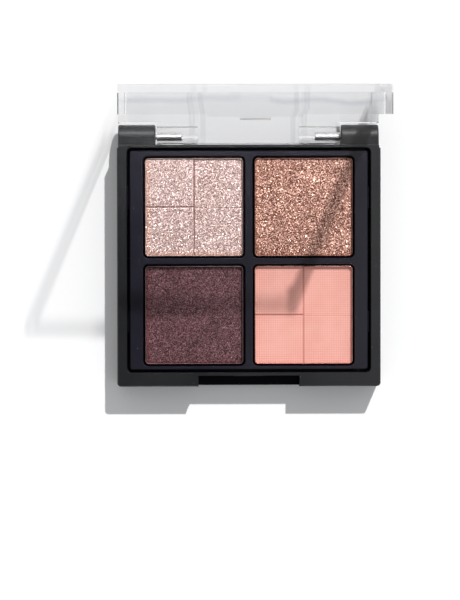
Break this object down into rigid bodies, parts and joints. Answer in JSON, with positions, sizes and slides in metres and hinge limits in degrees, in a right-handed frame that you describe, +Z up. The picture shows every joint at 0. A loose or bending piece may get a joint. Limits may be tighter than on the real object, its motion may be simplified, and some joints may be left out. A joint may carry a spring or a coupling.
{
  "type": "eyeshadow compact",
  "caption": "Square pressed-powder compact: a dark case with pans of powder set in a tray, under a clear lid on a two-pin rear hinge.",
  "frame": {"origin": "middle of the closed compact's footprint, on the underside of the case", "axes": "+X across to the right, +Y towards the hinge at the rear, +Z up out of the pans"},
  "size_m": [0.051, 0.0581, 0.051],
  "materials": {
    "base_shell": "satin black moulded plastic",
    "pan_tray": "satin blue-black moulded plastic",
    "tin_pan": "thin drawn tinplate, bright cut rim",
    "powder_champagne": "pressed powder, pink champagne shimmer",
    "powder_rose_gold": "pressed powder, coarse rose gold glitter",
    "powder_plum": "pressed powder, dark plum satin",
    "powder_peach": "pressed powder, matte peach",
    "adhesive_pad": "soft tacky adhesive",
    "hinge_pin": "bright drawn wire",
    "clear_lid": "polished clear styrene-type plastic"
  },
  "bodies": {
    "case": {"base_shell": "base_shell", "pan_tray": "pan_tray", "pan_champagne": "tin_pan", "pan_rose_gold": "tin_pan", "pan_plum": "tin_pan", "pan_peach": "tin_pan", "powder_champagne": "powder_champagne", "powder_rose_gold": "powder_rose_gold", "powder_plum": "powder_plum", "powder_peach": "powder_peach", "pad_champagne": "adhesive_pad", "pad_rose_gold": "adhesive_pad", "pad_plum": "adhesive_pad", "pad_peach": "adhesive_pad", "hinge_pin_left": "hinge_pin", "hinge_pin_right": "hinge_pin"},
    "lid": {"lid": "clear_lid"}
  },
  "joints": [
    {"name": "lid_hinge", "type": "hinge", "parent": "case", "child": "lid", "pos_m": [0, 0.02278, 0.00275], "axis": [1, 0, 0], "range_deg": [0, 90]}
  ]
}
